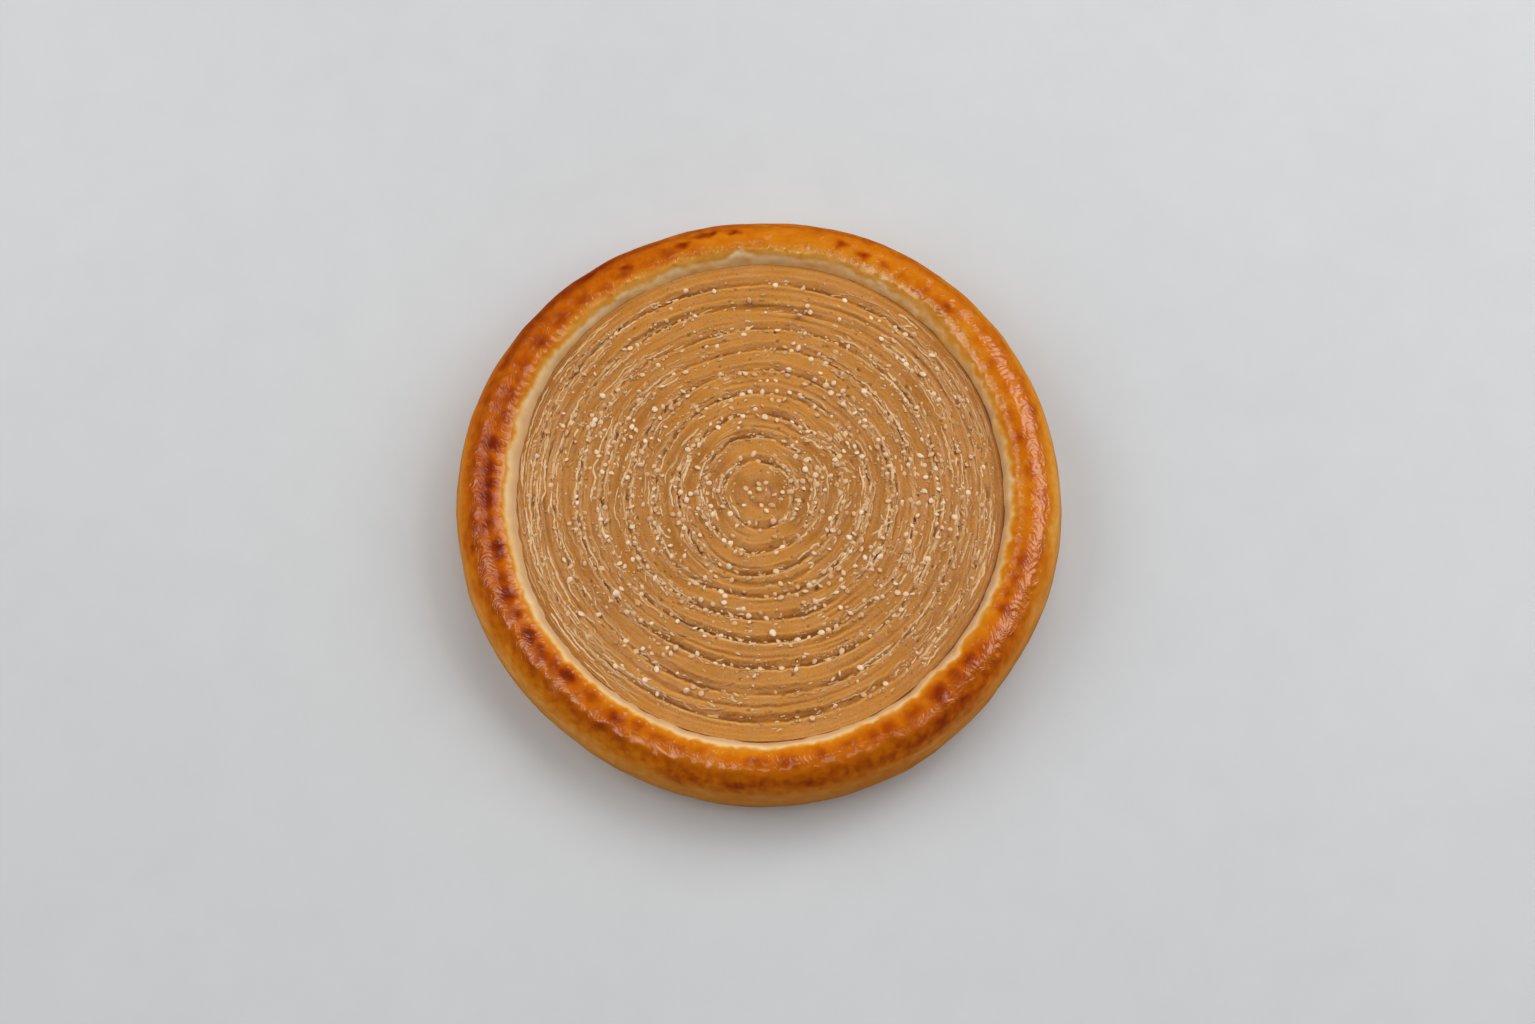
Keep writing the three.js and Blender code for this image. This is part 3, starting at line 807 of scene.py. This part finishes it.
# ---- crumbs and flakes of hull ----------------------------------------------------------
def build_crumbs():
    rng = np.random.default_rng(404)
    t = np.linspace(0, 1, 6)[1:-1]
    shape = [[-0.5, 0, 0]] + [[v - 0.5, 0.5 * math.sqrt(1 - (2 * v - 1) ** 2) * math.cos(b), 0.5 * math.sqrt(1 - (2 * v - 1) ** 2) * math.sin(b)]
                              for v in t for b in np.arange(6) * TAU / 6] + [[0.5, 0, 0]]
    shape = np.array(shape)
    faces = ring_faces([(0, 1)] + [(1 + 6 * i, 6) for i in range(4)] + [(25, 1)])
    patch = Noise(93)
    radii = np.array([FIRST_GROOVE + RING_PITCH * k for k in range(GROOVE_COUNT)])
    weight = radii * (1 - 0.45 * smooth(55, 78, radii))
    weight /= weight.sum()
    spots = []
    while len(spots) < 2800:
        a = rng.uniform(0, TAU)
        if rng.random() < 0.75:
            r = rng.choice(radii, p=weight) + rng.normal(0, 1.5)
            free = float(smooth(0, 20, np.array(r)) * (1 - smooth(70, 82, np.array(r))))
            r += free * float(waves(RING_WAVES, np.array(a), r * 0.11))
        else:
            r = 82.0 * math.sqrt(rng.random())
        x, y = r * math.cos(a), r * math.sin(a)
        if 0 < r < 82.5 and rng.random() < 0.25 + 0.6 * abs(math.cos(a)) + 0.8 * float(patch(np.array(x / 8), np.array(y / 8), 0.5)):
            spots.append((r, a))
    spots = np.array(spots)
    z = PASTE(spots[:, 0], spots[:, 1])[0]
    rr, _ = uneven(spots[:, 0], spots[:, 1], z)
    co, fc, tone = [], [], []
    for i, (r, a) in enumerate(spots):
        if rng.random() < 0.4:  # a flake, drawn out along the ring
            length = rng.uniform(1.2, 2.8)
            size = np.array([length, rng.uniform(0.5, 1.0), rng.uniform(0.3, 0.5)])
            yaw = a + math.pi / 2 + rng.normal(0, 0.3)
        else:
            size = rng.uniform(0.45, 1.15) * np.array([1.0, rng.uniform(0.7, 1.0), rng.uniform(0.55, 0.8)])
            yaw = rng.uniform(0, TAU)
        p = shape * (1 + rng.normal(0, 0.10, (len(shape), 1))) * size
        p[:, 1] += 0.12 * size[0] * (2 * shape[:, 0]) ** 2 * rng.uniform(-1, 1)
        cy, sy = math.cos(yaw), math.sin(yaw)
        p = p @ np.array([[cy, sy, 0], [-sy, cy, 0], [0, 0, 1]])
        p[:, 2] += z[i] + size[2] * rng.uniform(-0.1, 0.25)
        p[:, 0] += rr[i] * math.cos(a)
        p[:, 1] += rr[i] * math.sin(a)
        f = faces + 26 * i
        f[faces < 0] = -1
        co.append(p)
        fc.append(f)
        tone.append(np.full(len(p), rng.random()))
    co = np.concatenate(co)
    co[:, :2] += SHIFT
    return make_mesh("sesame_crumbs", co, np.concatenate(fc), {"tone": np.concatenate(tone)})


# ---- materials --------------------------------------------------------------------------
def srgb(r, g, b):
    def lin(v):
        v /= 255
        return v / 12.92 if v <= 0.04045 else ((v + 0.055) / 1.055) ** 2.4
    return (lin(r), lin(g), lin(b), 1.0)


class Nodes:
    """Short names for the shader nodes used below."""

    def __init__(self, name):
        self.material = bpy.data.materials.new(name)
        self.material.use_nodes = True
        self.tree = self.material.node_tree
        self.tree.nodes.clear()
        self.out = self.tree.nodes.new("ShaderNodeOutputMaterial")
        self.bsdf = self.tree.nodes.new("ShaderNodeBsdfPrincipled")
        self.tree.links.new(self.bsdf.outputs[0], self.out.inputs[0])

    def put(self, socket, value):
        if isinstance(value, bpy.types.NodeSocket):
            self.tree.links.new(value, socket)
        else:
            socket.default_value = value

    def new(self, kind, **settings):
        n = self.tree.nodes.new(kind)
        for k, v in settings.items():
            setattr(n, k, v)
        return n

    def attr(self, name, what="Fac"):
        return self.new("ShaderNodeAttribute", attribute_name=name).outputs[what]

    def position(self):
        return self.new("ShaderNodeTexCoord").outputs["Object"]

    def scale(self, vector, xyz):
        n = self.new("ShaderNodeVectorMath", operation="MULTIPLY")
        self.put(n.inputs[0], vector)
        n.inputs[1].default_value = xyz
        return n.outputs[0]

    def noise(self, vector, scale=1.0, detail=2.0, rough=0.5, distort=0.0):
        n = self.new("ShaderNodeTexNoise")
        self.put(n.inputs["Vector"], vector)
        n.inputs["Scale"].default_value = scale
        n.inputs["Detail"].default_value = detail
        n.inputs["Roughness"].default_value = rough
        n.inputs["Distortion"].default_value = distort
        return n.outputs["Fac"]

    def voronoi(self, vector, scale=1.0, feature="F1"):
        n = self.new("ShaderNodeTexVoronoi", feature=feature)
        self.put(n.inputs["Vector"], vector)
        n.inputs["Scale"].default_value = scale
        return n.outputs["Distance"]

    def math(self, op, a, b=0.0, c=None):
        n = self.new("ShaderNodeMath", operation=op)
        self.put(n.inputs[0], a)
        self.put(n.inputs[1], b)
        if c is not None:
            self.put(n.inputs[2], c)
        return n.outputs[0]

    def remap(self, value, a, b, lo=0.0, hi=1.0):
        n = self.new("ShaderNodeMapRange")
        self.put(n.inputs[0], value)
        for i, v in enumerate((a, b, lo, hi)):
            n.inputs[1 + i].default_value = v
        return n.outputs[0]

    def ramp(self, fac, stops, mode="LINEAR"):
        n = self.new("ShaderNodeValToRGB")
        n.color_ramp.interpolation = mode
        el = n.color_ramp.elements
        while len(el) < len(stops):
            el.new(0.5)
        for e, (pos, col) in zip(el, stops):
            e.position, e.color = pos, col
        self.put(n.inputs[0], fac)
        return n.outputs[0]

    def mix(self, fac, a, b, mode="MIX"):
        n = self.new("ShaderNodeMix", data_type="RGBA", blend_type=mode)
        self.put(n.inputs[0], fac)
        self.put(n.inputs[6], a)
        self.put(n.inputs[7], b)
        return n.outputs[2]

    def bump(self, height, distance, strength=1.0, normal=None):
        n = self.new("ShaderNodeBump")
        n.inputs["Strength"].default_value = strength
        n.inputs["Distance"].default_value = distance
        self.put(n.inputs["Height"], height)
        if normal is not None:
            self.put(n.inputs["Normal"], normal)
        return n.outputs[0]

    def set(self, **values):
        for key, v in values.items():
            self.put(self.bsdf.inputs[key.replace("_", " ")], v)


def crust_material():
    m = Nodes("baked_dough")
    bake, glaze, wrinkle = m.attr("bake"), m.attr("glaze"), m.attr("wrinkle")
    wrap = m.attr("wrap", "Vector")
    pos = m.scale(m.position(), (1000.0, 1000.0, 1000.0))  # millimetres
    grain = m.noise(pos, 0.55, 4, 0.6)
    patch = m.noise(pos, 0.11, 3, 0.55)
    streak = m.noise(m.scale(wrap, (0.55, 0.55, 0.06)), 1.0, 3, 0.55)  # across the wrinkled crown
    course = m.noise(m.scale(wrap, (0.11, 0.11, 0.28)), 1.0, 4, 0.55, 0.6)  # along the rim
    level = m.math("ADD", bake, m.math("MULTIPLY", m.math("SUBTRACT", grain, 0.5), 0.10))
    level = m.math("ADD", level, m.math("MULTIPLY", m.math("SUBTRACT", patch, 0.5), 0.12))
    level = m.math("ADD", level, m.math("MULTIPLY", m.math("MULTIPLY", m.math("SUBTRACT", streak, 0.5), 0.09), wrinkle))
    level = m.math("ADD", level, m.math("MULTIPLY", m.math("SUBTRACT", course, 0.5), 0.10))
    colour = m.ramp(level, [
        (0.00, srgb(247, 216, 172)),
        (0.13, srgb(244, 200, 136)),
        (0.26, srgb(234, 166, 68)),
        (0.40, srgb(222, 133, 22)),
        (0.54, srgb(207, 108, 6)),
        (0.68, srgb(177, 77, 3)),
        (0.82, srgb(143, 49, 5)),
        (1.00, srgb(110, 34, 6)),
    ])
    dusk = m.ramp(m.math("ADD", course, m.math("MULTIPLY", m.math("SUBTRACT", patch, 0.5), 0.6)), [(0.22, srgb(206, 122, 38)), (0.52, srgb(224, 147, 64)), (0.82, srgb(240, 174, 98))])
    colour = m.mix(m.math("MULTIPLY", m.attr("tan"), 0.85), colour, dusk)
    # greyed towards the paste: paste smear and painted shade
    colour = m.mix(m.math("MULTIPLY", m.attr("smear_and_shade"), 0.75), colour, srgb(208, 160, 112))
    # wrinkled skin: fine creases nested along the crown, pulled about by its lumps
    part = m.new("ShaderNodeSeparateXYZ")
    m.put(part.inputs[0], wrap)
    turn = m.math("MULTIPLY", m.math("ARCTAN2", part.outputs[1], part.outputs[0]), 400.0)
    phase = m.math("ADD", turn, m.math("MULTIPLY", m.attr("ripple"), 11.0))
    phase = m.math("ADD", phase, m.math("MULTIPLY", m.noise(m.scale(wrap, (0.22, 0.22, 0.30)), 1.0, 2, 0.5), 22.0))
    crease = m.math("SINE", phase)
    fine = m.noise(m.scale(wrap, (0.9, 0.9, 0.6)), 1.0, 2, 0.5, 0.3)
    crease = m.math("MULTIPLY", crease, m.remap(m.noise(m.scale(wrap, (0.16, 0.16, 0.25)), 1.0, 1, 0.5), 0.35, 0.62, 0.08, 0.4))
    skin = m.math("MULTIPLY", m.math("ADD", crease, m.math("MULTIPLY", fine, 0.9)), wrinkle)
    soft = m.noise(pos, 0.5, 2, 0.5)
    height = m.math("ADD", skin, m.math("MULTIPLY", soft, 0.4))
    normal = m.bump(height, 0.00011, 1.0)
    m.set(Base_Color=colour, Normal=normal, Coat_Normal=normal)
    m.set(Roughness=m.remap(grain, 0.3, 0.7, 0.5, 0.62), Specular_IOR_Level=0.05)
    m.set(Coat_Weight=glaze, Coat_Roughness=0.06, Coat_IOR=1.75)
    return m.material


def paste_material():
    m = Nodes("sesame_paste")
    trough_oil_and_shade, flake, shaded_pit, relief_shading = m.attr("trough_oil_and_shade"), m.attr("flake"), m.attr("shaded_pit"), m.attr("relief_shading")
    pos = m.scale(m.position(), (1000.0, 1000.0, 1000.0))
    grain = m.noise(pos, 1.5, 4, 0.6)
    patch = m.noise(pos, 0.09, 3, 0.5)
    speck = m.noise(pos, 1.05, 2, 0.5)
    # painted light and shade: darker in troughs and hollows, lighter on ridges; besides that the paste's own patchy
    # tone and paler torn bands
    tone = m.math("ADD", m.math("MULTIPLY", trough_oil_and_shade, -0.27), m.math("MULTIPLY", flake, 0.06))
    tone = m.math("ADD", tone, m.math("MULTIPLY", relief_shading, 0.55))
    tone = m.math("ADD", tone, m.math("MULTIPLY", m.math("SUBTRACT", patch, 0.5), 0.30))
    tone = m.math("ADD", tone, m.math("MULTIPLY", m.math("SUBTRACT", grain, 0.5), 0.42))
    tone = m.math("ADD", tone, 0.50)
    colour = m.ramp(tone, [
        (0.00, srgb(141, 84, 25)),
        (0.30, srgb(181, 116, 43)),
        (0.55, srgb(204, 137, 59)),
        (0.80, srgb(221, 160, 82)),
        (1.00, srgb(238, 200, 150)),
    ])
    colour = m.mix(m.math("MULTIPLY", flake, 0.25), colour, srgb(196, 144, 88))
    # darker brown: hull specks of the paste's own colour, and painted shade in pits and deep troughs
    specks_and_shade = m.math("MAXIMUM", m.remap(speck, 0.68, 0.74), m.remap(shaded_pit, 0.15, 0.6))
    specks_and_shade = m.math("MAXIMUM", specks_and_shade, m.remap(trough_oil_and_shade, 0.85, 1.3, 0.0, 0.75))
    colour = m.mix(m.math("MULTIPLY", specks_and_shade, 0.6), colour, srgb(104, 54, 18))
    fine = m.noise(pos, 2.0, 2, 0.5)
    height = m.math("ADD", m.math("MULTIPLY", fine, 0.5), m.math("MULTIPLY", grain, 0.5))
    height = m.math("MULTIPLY", height, m.remap(m.noise(pos, 0.17, 2, 0.5), 0.42, 0.62, 0.5, 1.7))
    normal = m.bump(height, 0.00033, 1.0)
    m.set(Base_Color=colour, Normal=normal, Coat_Normal=normal)
    m.set(Roughness=m.remap(grain, 0.3, 0.7, 0.36, 0.5), Specular_IOR_Level=0.2)
    m.set(Coat_Weight=1.0, Coat_Roughness=0.10, Coat_IOR=1.5)
    return m.material


def string_material():
    m = Nodes("sesame_strings")
    tone = m.attr("tone")
    pos = m.scale(m.position(), (1000.0, 1000.0, 1000.0))
    grain = m.noise(pos, 1.5, 4, 0.6)
    level = m.math("ADD", m.math("MULTIPLY", tone, 0.6), m.math("MULTIPLY", grain, 0.4))
    colour = m.ramp(level, [(0.15, srgb(183, 123, 60)), (0.50, srgb(208, 158, 99)), (0.85, srgb(240, 205, 157))])
    normal = m.bump(grain, 0.00008, 1.0)
    m.set(Base_Color=colour, Normal=normal, Coat_Normal=normal)
    m.set(Roughness=m.remap(grain, 0.3, 0.7, 0.36, 0.5), Specular_IOR_Level=0.2)
    m.set(Coat_Weight=1.0, Coat_Roughness=0.10, Coat_IOR=1.65)
    return m.material


def seed_material():
    m = Nodes("sesame_hulled")
    tone, along = m.attr("tone"), m.attr("along")
    pos = m.scale(m.position(), (1000.0, 1000.0, 1000.0))
    grain = m.noise(pos, 2.4, 3, 0.6)
    level = m.math("ADD", m.math("MULTIPLY", tone, 0.7), m.math("MULTIPLY", grain, 0.3))
    colour = m.ramp(level, [
        (0.10, srgb(212, 158, 104)),
        (0.45, srgb(234, 194, 148)),
        (0.90, srgb(250, 226, 194)),
    ])
    tip = m.remap(along, 0.80, 1.0)
    colour = m.mix(m.math("MULTIPLY", tip, 0.4), colour, srgb(190, 136, 76))
    m.set(Base_Color=colour, Normal=m.bump(grain, 0.00012, 0.8))
    m.set(Roughness=m.remap(grain, 0.3, 0.7, 0.34, 0.48))
    m.set(Specular_IOR_Level=0.5)
    return m.material


def crumb_material():
    m = Nodes("sesame_crumb")
    tone = m.attr("tone")
    pos = m.scale(m.position(), (1000.0, 1000.0, 1000.0))
    grain = m.noise(pos, 2.6, 3, 0.6)
    level = m.math("ADD", m.math("MULTIPLY", tone, 0.7), m.math("MULTIPLY", grain, 0.3))
    colour = m.ramp(level, [(0.10, srgb(188, 130, 66)), (0.50, srgb(211, 165, 112)), (0.90, srgb(240, 210, 170))])
    m.set(Base_Color=colour, Normal=m.bump(grain, 0.0001, 0.8))
    m.set(Roughness=m.remap(grain, 0.3, 0.7, 0.26, 0.4), Specular_IOR_Level=0.8, Coat_Weight=0.6, Coat_Roughness=0.15)
    return m.material


def floor_material():
    m = Nodes("pale_floor")
    pos = m.position()
    soft = m.noise(pos, 3.0, 4, 0.6)
    fine = m.noise(pos, 60.0, 3, 0.6)
    level = m.math("ADD", m.math("MULTIPLY", soft, 0.7), m.math("MULTIPLY", fine, 0.3))
    colour = m.ramp(level, [(0.3, srgb(205, 206, 207)), (0.7, srgb(213, 214, 215))])
    m.set(Base_Color=colour, Roughness=0.6, Specular_IOR_Level=0.3)
    return m.material


# ---- build the pieces -------------------------------------------------------------------
crust = build_crust()
crust.data.materials.append(crust_material())
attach(crust, "root")
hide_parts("crust")

filling = build_filling()
filling.data.materials.append(paste_material())
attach(filling, "root")
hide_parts("tahini_filling")

strings = build_strings()
strings.data.materials.append(string_material())
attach(strings, "root")

seeds = build_seeds()
seeds.data.materials.append(seed_material())
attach(seeds, "root")

crumbs = build_crumbs()
crumbs.data.materials.append(crumb_material())
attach(crumbs, "root")

# ---- floor, light and camera ------------------------------------------------------------
floor = make_mesh("floor", [(-4000, -4000, 0), (4000, -4000, 0), (4000, 4000, 0), (-4000, 4000, 0)], np.array([[0, 1, 2, 3]]))
floor.data.materials.append(floor_material())
floor.visible_glossy = False


def softbox(name, azimuth, elevation, distance, width, height, radiance, colour, glossy=True):
    """A soft rectangular light aimed at the middle of the pie."""
    light = bpy.data.lights.new(name, "AREA")
    light.shape = "RECTANGLE"
    light.size, light.size_y = width, height
    light.energy = radiance * math.pi * width * height
    light.color = colour
    ob = bpy.data.objects.new(name, light)
    az, el = azimuth * RAD, elevation * RAD
    ob.location = distance * Vector((math.cos(el) * math.cos(az), math.cos(el) * math.sin(az), math.sin(el)))
    ob.rotation_euler = (-ob.location).to_track_quat("-Z", "Y").to_euler()
    ob.visible_camera = False
    ob.visible_glossy = glossy
    light.cycles.use_multiple_importance_sampling = glossy
    bpy.context.scene.collection.objects.link(ob)
    return ob


softbox("softbox_right", 15, 43, 1.4, 1.5, 0.8, 2.6, (0.93, 0.97, 1.0), False)
softbox("softbox_left", 170, 42, 1.4, 1.5, 0.8, 2.5, (1.0, 0.98, 0.96), False)
# what the glaze mirrors: bright in the middle and fading outwards, each a little behind the last
for name, azimuth, elevation, tint, nest in (
    ("sheen_right", 20, 39.5, (0.96, 0.98, 1.0), ((0.9, 0.7, 1.5), (1.3, 1.15, 0.75), (1.8, 1.5, 0.1))),
    ("sheen_left", 170, 49, (1.0, 0.97, 0.93), ((1.0, 0.4, 0.7), (1.4, 0.75, 0.25), (2.0, 1.2, 0.04))),
    ("glint_right", -35, 50, (1.0, 0.97, 0.93), ((0.3, 0.25, 0.7), (0.7, 0.6, 0.12))),
    ("glint_left", -145, 52, (1.0, 0.97, 0.93), ((0.4, 0.45, 1.2), (0.9, 0.8, 0.9))),
    ("glint_front", -90, 57, (1.0, 0.97, 0.93), ((0.4, 0.3, 0.8),)),
    ("glint_top", -90, 88, (1.0, 0.97, 0.93), ((0.35, 0.3, 0.65),)),
):
    for step, (width, height, radiance) in enumerate(nest):
        softbox(f"{name}_{step}", azimuth, elevation, 1.30 + 0.03 * step, width, height, radiance, tint).visible_diffuse = False
softbox("softbox_back", 70, 50, 1.5, 1.2, 0.7, 2.9, (1.0, 1.0, 1.0), False)

world = bpy.data.worlds.new("studio")
world.use_nodes = True
world.node_tree.nodes["Background"].inputs[0].default_value = (1.0, 1.0, 1.0, 1.0)
world.node_tree.nodes["Background"].inputs[1].default_value = 0.2
bpy.context.scene.world = world
world.cycles_visibility.glossy = False

ELEVATION = 73.0
DISTANCE = 0.68
TARGET = Vector((0.00295, -0.0037, 0.014))
cam_data = bpy.data.cameras.new("camera")
cam_data.sensor_fit = "HORIZONTAL"
cam_data.sensor_width = 36.0
cam_data.lens = 46.1
camera = bpy.data.objects.new("camera", cam_data)
e = math.radians(ELEVATION)
camera.location = TARGET + DISTANCE * Vector((0, -math.cos(e), math.sin(e)))
camera.rotation_euler = (math.radians(90 - ELEVATION), 0, 0)
bpy.context.scene.collection.objects.link(camera)
bpy.context.scene.camera = camera

bpy.context.scene.view_settings.view_transform = "Standard"
bpy.context.scene.view_settings.look = "None"

bpy.context.view_layer.update()
